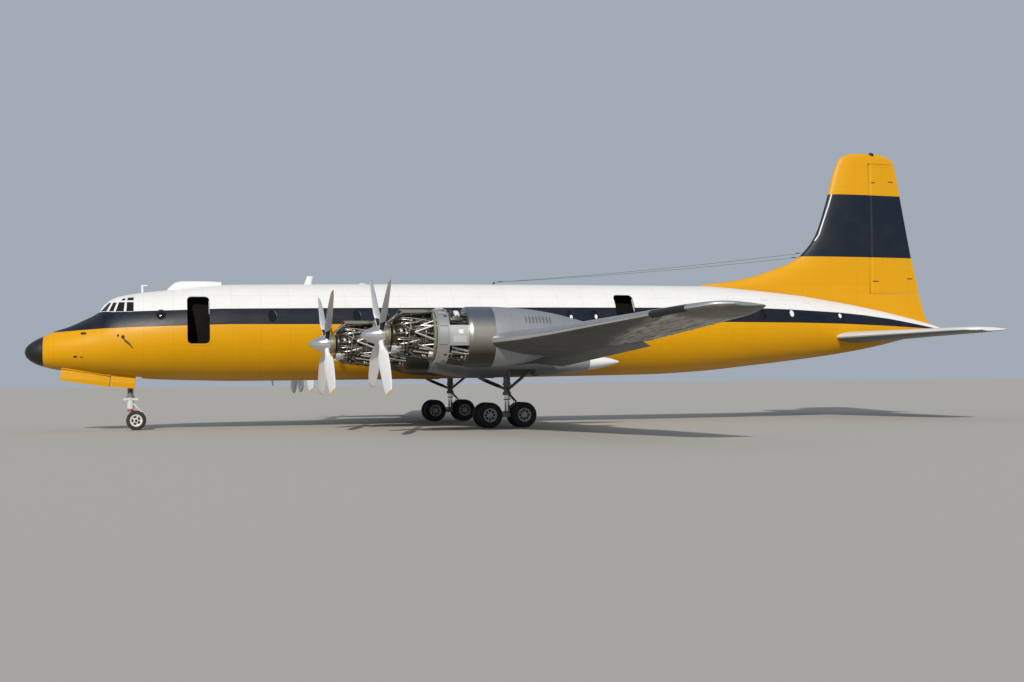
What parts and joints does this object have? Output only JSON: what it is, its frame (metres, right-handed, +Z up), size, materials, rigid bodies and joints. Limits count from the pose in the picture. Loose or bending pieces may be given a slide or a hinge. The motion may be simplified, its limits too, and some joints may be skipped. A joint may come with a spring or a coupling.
{
  "type": "half-scale four-engined turboprop transport plane",
  "caption": "Low-wing turboprop transport plane at half scale, parked on its bogie gear with its engine cowls off, with turning propellers and wheels, control surfaces and nose doors.",
  "frame": {"origin": "on the ground under the middle of the length and span", "axes": "+X towards the nose, +Y towards the port wing tip, +Z up"},
  "size_m": [18.94, 21.68, 5.725],
  "materials": {
    "yellow_paint": "gloss yellow paint over skin panels, weathered",
    "white_paint": "gloss white paint, lightly soiled",
    "black_paint": "satin black paint",
    "glazing": "dark cockpit glass",
    "bare_metal": "dull bare skin with stains",
    "engine_metal": "dark heat-stained casings",
    "polished_metal": "polished metal",
    "gear_paint": "satin grey paint, oily",
    "tyre": "worn black tyres on grey rims"
  },
  "bodies": {
    "airframe": {"radome": "black_paint", "fuselage": "yellow_paint", "cockpit_glazing": "glazing", "dorsal_hump": "white_paint", "front_door": "white_paint", "rear_door": "white_paint", "fin": "yellow_paint", "tailplane_port": "white_paint", "tailplane_starboard": "white_paint", "wing_port": "bare_metal", "wing_starboard": "bare_metal", "nacelle_port_outer": "bare_metal", "engine_port_outer": "engine_metal", "nacelle_starboard_outer": "bare_metal", "engine_starboard_outer": "engine_metal", "nacelle_port_inner": "bare_metal", "engine_port_inner": "engine_metal", "nacelle_starboard_inner": "bare_metal", "engine_starboard_inner": "engine_metal", "main_leg_port": "gear_paint", "main_leg_starboard": "gear_paint", "bogie_beam_port": "gear_paint", "bogie_beam_starboard": "gear_paint", "nose_leg": "gear_paint", "nose_door_rear_port": "yellow_paint", "nose_door_rear_starboard": "yellow_paint"},
    "rudder": {"rudder": "yellow_paint"},
    "elevators": {"elevator_port": "white_paint", "elevator_starboard": "white_paint"},
    "aileron_port": {"aileron_port": "bare_metal"},
    "aileron_starboard": {"aileron_starboard": "bare_metal"},
    "flaps_port": {"flap_inner_port": "bare_metal", "flap_outer_port": "bare_metal"},
    "flaps_starboard": {"flap_inner_starboard": "bare_metal", "flap_outer_starboard": "bare_metal"},
    "nose_steering": {"nose_fork": "gear_paint"},
    "nose_wheels": {"nose_wheels": "tyre"},
    "nose_door_front_port": {"nose_door_front_port": "yellow_paint"},
    "nose_door_front_starboard": {"nose_door_front_starboard": "yellow_paint"},
    "propeller_port_outer": {"propeller_port_outer": "polished_metal"},
    "propeller_port_inner": {"propeller_port_inner": "polished_metal"},
    "main_wheels_front_port": {"main_wheels_front_port": "tyre"},
    "main_wheels_rear_port": {"main_wheels_rear_port": "tyre"},
    "propeller_starboard_outer": {"propeller_starboard_outer": "polished_metal"},
    "propeller_starboard_inner": {"propeller_starboard_inner": "polished_metal"},
    "main_wheels_front_starboard": {"main_wheels_front_starboard": "tyre"},
    "main_wheels_rear_starboard": {"main_wheels_rear_starboard": "tyre"}
  },
  "joints": [
    {"name": "propeller_port_outer_spin", "type": "hinge", "parent": "airframe", "child": "propeller_port_outer", "pos_m": [3.77, 5, 1.585], "axis": [1, 0, 0], "continuous": true},
    {"name": "propeller_port_inner_spin", "type": "hinge", "parent": "airframe", "child": "propeller_port_inner", "pos_m": [4.28, 2.3625, 1.525], "axis": [1, 0, 0], "continuous": true},
    {"name": "propeller_starboard_outer_spin", "type": "hinge", "parent": "airframe", "child": "propeller_starboard_outer", "pos_m": [3.77, -5, 1.585], "axis": [1, 0, 0], "continuous": true},
    {"name": "propeller_starboard_inner_spin", "type": "hinge", "parent": "airframe", "child": "propeller_starboard_inner", "pos_m": [4.28, -2.3625, 1.525], "axis": [1, 0, 0], "continuous": true},
    {"name": "rudder_hinge", "type": "hinge", "parent": "airframe", "child": "rudder", "pos_m": [-7.84, 0, 2.665], "axis": [0, 0, 1], "range_deg": [-25, 25]},
    {"name": "elevator_hinge", "type": "hinge", "parent": "airframe", "child": "elevators", "pos_m": [-7.905, 0, 1.71], "axis": [0, 1, 0], "range_deg": [-15, 25]},
    {"name": "aileron_port_hinge", "type": "hinge", "parent": "airframe", "child": "aileron_port", "pos_m": [0.39415, 7.1, 1.46936], "axis": [-0.0666, 0.9959, 0.0619], "range_deg": [-20, 20]},
    {"name": "aileron_starboard_hinge", "type": "hinge", "parent": "airframe", "child": "aileron_starboard", "pos_m": [0.39415, -7.1, 1.46936], "axis": [0.0666, 0.9959, -0.0619], "range_deg": [-20, 20]},
    {"name": "flaps_port_hinge", "type": "hinge", "parent": "airframe", "child": "flaps_port", "pos_m": [0.71783, 1, 1.18489], "axis": [0.061, -0.9971, -0.0459], "range_deg": [-15, 25]},
    {"name": "flaps_starboard_hinge", "type": "hinge", "parent": "airframe", "child": "flaps_starboard", "pos_m": [0.71783, -1, 1.18489], "axis": [-0.061, -0.9971, 0.0459], "range_deg": [-15, 25]},
    {"name": "main_wheels_front_port_roll", "type": "hinge", "parent": "airframe", "child": "main_wheels_front_port", "pos_m": [1.37, 2.3625, 0.23], "axis": [0, 1, 0], "continuous": true},
    {"name": "main_wheels_rear_port_roll", "type": "hinge", "parent": "airframe", "child": "main_wheels_rear_port", "pos_m": [0.73, 2.3625, 0.23], "axis": [0, 1, 0], "continuous": true},
    {"name": "main_wheels_front_starboard_roll", "type": "hinge", "parent": "airframe", "child": "main_wheels_front_starboard", "pos_m": [1.37, -2.3625, 0.23], "axis": [0, 1, 0], "continuous": true},
    {"name": "main_wheels_rear_starboard_roll", "type": "hinge", "parent": "airframe", "child": "main_wheels_rear_starboard", "pos_m": [0.73, -2.3625, 0.23], "axis": [0, 1, 0], "continuous": true},
    {"name": "nose_steering_turn", "type": "hinge", "parent": "airframe", "child": "nose_steering", "pos_m": [7.61, 0, 0.6], "axis": [0, 0, 1], "range_deg": [-50, 50]},
    {"name": "nose_wheels_roll", "type": "hinge", "parent": "nose_steering", "child": "nose_wheels", "pos_m": [7.51, 0, 0.18], "axis": [0, 1, 0], "continuous": true},
    {"name": "nose_door_front_port_hinge", "type": "hinge", "parent": "airframe", "child": "nose_door_front_port", "pos_m": [8.818, 0.22, 1.15302], "axis": [-0.9878, 0, -0.1555], "range_deg": [0, 84]},
    {"name": "nose_door_front_starboard_hinge", "type": "hinge", "parent": "airframe", "child": "nose_door_front_starboard", "pos_m": [8.818, -0.22, 1.15302], "axis": [0.9878, 0, 0.1555], "range_deg": [0, 84]}
  ],
  "couplings": [
    {"joint": "aileron_starboard_hinge", "follows": "aileron_port_hinge", "ratio": -1},
    {"joint": "flaps_starboard_hinge", "follows": "flaps_port_hinge", "ratio": 1}
  ]
}
